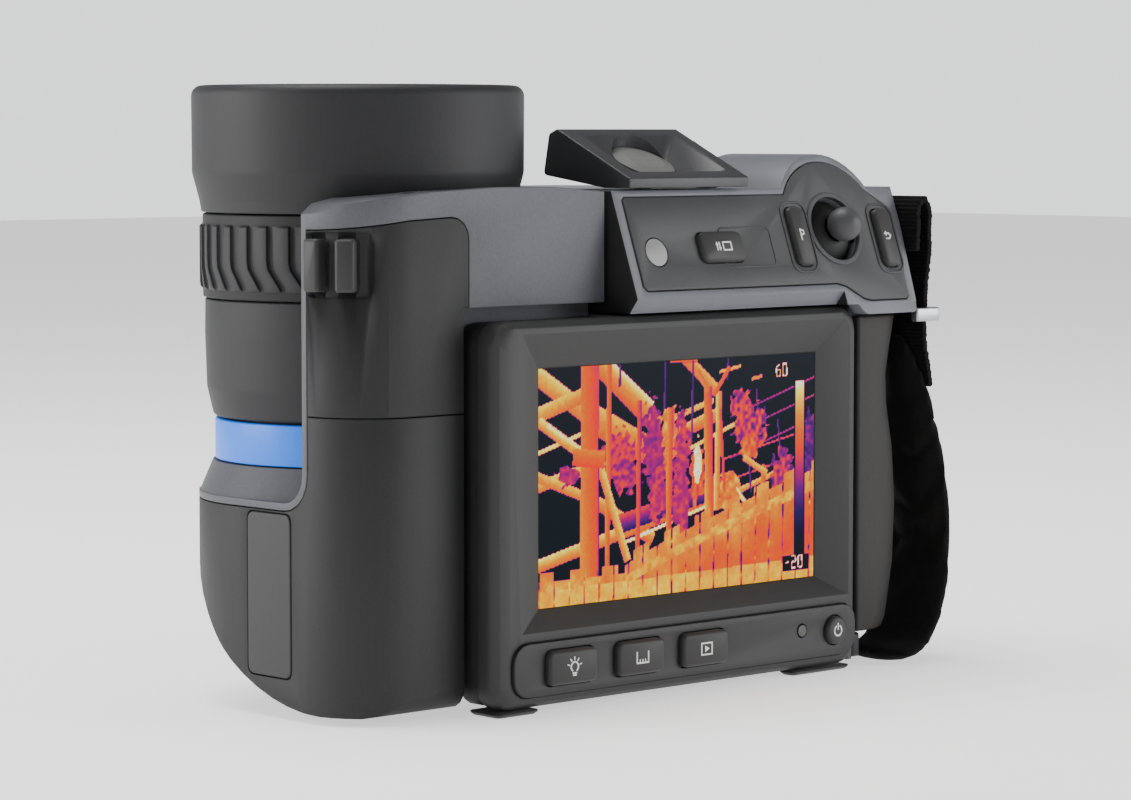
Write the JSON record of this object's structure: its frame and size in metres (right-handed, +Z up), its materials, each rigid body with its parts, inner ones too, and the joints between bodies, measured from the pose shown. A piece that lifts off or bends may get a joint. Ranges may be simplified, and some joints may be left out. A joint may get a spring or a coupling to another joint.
{
  "type": "thermal imaging camera",
  "caption": "Handheld thermal imaging camera with a tilting optical block, a large lens hood, a display unit with keys, a flip-up viewfinder, a control stick and a hand strap.",
  "frame": {"origin": "middle of the footprint, on the surface that the feet stand on", "axes": "+X to the user's right, +Y away from the user, +Z up; the display faces -Y and the lens points up at rest"},
  "size_m": [0.196, 0.104, 0.1485],
  "materials": {
    "dark_cover": "matt moulded",
    "grey_shell": "grey speckled paint over a cast shell",
    "light_frame": "light grey satin",
    "bezel": "matt",
    "panel": "fine grain",
    "key_rubber": "matt",
    "grip_rubber": "matt soft touch",
    "blue_band": "satin blue",
    "lens_black": "matt rubber-armoured",
    "germanium": "coated",
    "clear_glass": "clear",
    "bright_metal": "bright",
    "dark_metal": "dark anodised",
    "circuit_board": "solder resist",
    "webbing": "woven",
    "soft_pad": "soft neoprene"
  },
  "bodies": {
    "main_body": {"display_frame": "bezel", "key_strip": "bezel", "status_lamp": "clear_glass", "screen_glass": "clear_glass", "display_module": "dark_metal", "display_back": "dark_cover", "main_housing": "grey_shell", "tripod_bush": "bright_metal", "foot_near_left": "key_rubber", "foot_near_right": "key_rubber", "foot_far_left": "key_rubber", "foot_far_right": "key_rubber", "tilt_hub": "dark_metal", "socket_block": "dark_metal", "main_board": "circuit_board", "top_cover": "light_frame", "control_panel": "panel", "light_sensor": "clear_glass", "stick_boot": "key_rubber", "viewfinder_bracket": "dark_metal", "grip_cover": "grip_rubber", "strap_loop": "bright_metal", "strap_webbing": "webbing", "strap_pad": "soft_pad", "strap_anchor": "dark_metal"},
    "optical_block": {"block_frame": "grey_shell", "upper_cover": "dark_cover", "lower_cover": "dark_cover", "side_plate": "panel", "detector_core": "dark_metal", "detector_board": "circuit_board", "camera_window": "clear_glass", "laser_window": "clear_glass", "lens_barrel": "lens_black", "lens_band": "blue_band", "lens_hood": "lens_black", "front_element": "germanium"},
    "viewfinder": {"viewfinder_hood": "dark_cover", "eye_lens": "clear_glass", "view_panel": "dark_metal"},
    "focus_ring": {"focus_ring": "lens_black"},
    "rear_element": {"rear_element": "germanium"},
    "near_side_key": {"near_side_key": "key_rubber"},
    "far_side_key": {"far_side_key": "key_rubber"},
    "light_key": {"light_key": "key_rubber"},
    "measure_key": {"measure_key": "key_rubber"},
    "gallery_key": {"gallery_key": "key_rubber"},
    "power_key": {"power_key": "key_rubber"},
    "mode_key": {"mode_key": "key_rubber"},
    "program_key": {"program_key": "key_rubber"},
    "back_key": {"back_key": "key_rubber"},
    "stick_gimbal": {"stick_gimbal": "bright_metal"},
    "stick_stem": {"stick_stem": "dark_metal"},
    "stick_ball": {"stick_ball": "key_rubber"},
    "focus_wheel": {"focus_wheel": "key_rubber"},
    "shutter_trigger": {"shutter_trigger": "key_rubber"},
    "socket_door": {"socket_door": "dark_cover"},
    "battery": {"battery": "dark_cover"},
    "battery_latch": {"battery_latch": "key_rubber"}
  },
  "joints": [
    {"name": "block_tilt", "type": "hinge", "parent": "main_body", "child": "optical_block", "pos_m": [-0.01811, 0.0117, 0.042], "axis": [1, 0, 0], "range_deg": [-120, 0]},
    {"name": "focus_turn", "type": "hinge", "parent": "optical_block", "child": "focus_ring", "pos_m": [-0.05711, 0.0117, 0.0976], "axis": [0, 0, 1], "range_deg": [-45, 45]},
    {"name": "focus_travel", "type": "slide", "parent": "optical_block", "child": "rear_element", "axis": [0, 0, 1], "range_m": [-0.0016, 0.0016]},
    {"name": "near_side_key_press", "type": "slide", "parent": "optical_block", "child": "near_side_key", "axis": [0.809, 0.5878, 0], "range_m": [0, 0.001], "stiffness_N_per_m": 400},
    {"name": "far_side_key_press", "type": "slide", "parent": "optical_block", "child": "far_side_key", "axis": [0.9848, 0.1736, 0], "range_m": [0, 0.001], "stiffness_N_per_m": 400},
    {"name": "light_key_press", "type": "slide", "parent": "main_body", "child": "light_key", "axis": [0, 1, 0], "range_m": [0, 0.0008], "stiffness_N_per_m": 400},
    {"name": "measure_key_press", "type": "slide", "parent": "main_body", "child": "measure_key", "axis": [0, 1, 0], "range_m": [0, 0.0008], "stiffness_N_per_m": 400},
    {"name": "gallery_key_press", "type": "slide", "parent": "main_body", "child": "gallery_key", "axis": [0, 1, 0], "range_m": [0, 0.0008], "stiffness_N_per_m": 400},
    {"name": "power_key_press", "type": "slide", "parent": "main_body", "child": "power_key", "axis": [0, 1, 0], "range_m": [0, 0.0008], "stiffness_N_per_m": 400},
    {"name": "mode_key_press", "type": "slide", "parent": "main_body", "child": "mode_key", "axis": [0, 0.9397, -0.342], "range_m": [0, 0.0008], "stiffness_N_per_m": 400},
    {"name": "program_key_press", "type": "slide", "parent": "main_body", "child": "program_key", "axis": [0, 0.9397, -0.342], "range_m": [0, 0.0008], "stiffness_N_per_m": 400},
    {"name": "back_key_press", "type": "slide", "parent": "main_body", "child": "back_key", "axis": [0, 0.9397, -0.342], "range_m": [0, 0.0008], "stiffness_N_per_m": 400},
    {"name": "stick_up_down", "type": "hinge", "parent": "main_body", "child": "stick_gimbal", "pos_m": [0.05879, -0.03127, 0.11021], "axis": [1, 0, 0], "range_deg": [-8, 8], "stiffness_Nm_per_rad": 0.08},
    {"name": "stick_left_right", "type": "hinge", "parent": "stick_gimbal", "child": "stick_stem", "pos_m": [0.05879, -0.03127, 0.11021], "axis": [0, 0.342, 0.9397], "range_deg": [-8, 8], "stiffness_Nm_per_rad": 0.08},
    {"name": "stick_push", "type": "slide", "parent": "stick_stem", "child": "stick_ball", "axis": [0, 0.9397, -0.342], "range_m": [0, 0.0006], "stiffness_N_per_m": 400},
    {"name": "viewfinder_flip", "type": "hinge", "parent": "main_body", "child": "viewfinder", "pos_m": [0.00804, -0.0355, 0.1251], "axis": [1, 0, 0], "range_deg": [0, 64]},
    {"name": "viewfinder_focus", "type": "hinge", "parent": "viewfinder", "child": "focus_wheel", "pos_m": [0.02889, -0.0139, 0.1311], "axis": [1, 0, 0], "range_deg": [-90, 90]},
    {"name": "trigger_press", "type": "slide", "parent": "main_body", "child": "shutter_trigger", "axis": [0, -1, 0], "range_m": [0, 0.0025], "stiffness_N_per_m": 500},
    {"name": "door_swing", "type": "hinge", "parent": "main_body", "child": "socket_door", "pos_m": [-0.00831, 0.0451, 0.067], "axis": [0, 0, 1], "range_deg": [0, 110]},
    {"name": "battery_slide", "type": "slide", "parent": "main_body", "child": "battery", "axis": [0, 0, -1], "range_m": [0, 0.066]},
    {"name": "latch_slide", "type": "slide", "parent": "main_body", "child": "battery_latch", "axis": [1, 0, 0], "range_m": [0, 0.003], "stiffness_N_per_m": 300}
  ],
  "couplings": [
    {"joint": "focus_travel", "follows": "focus_turn", "m_per_rad": 0.002}
  ]
}
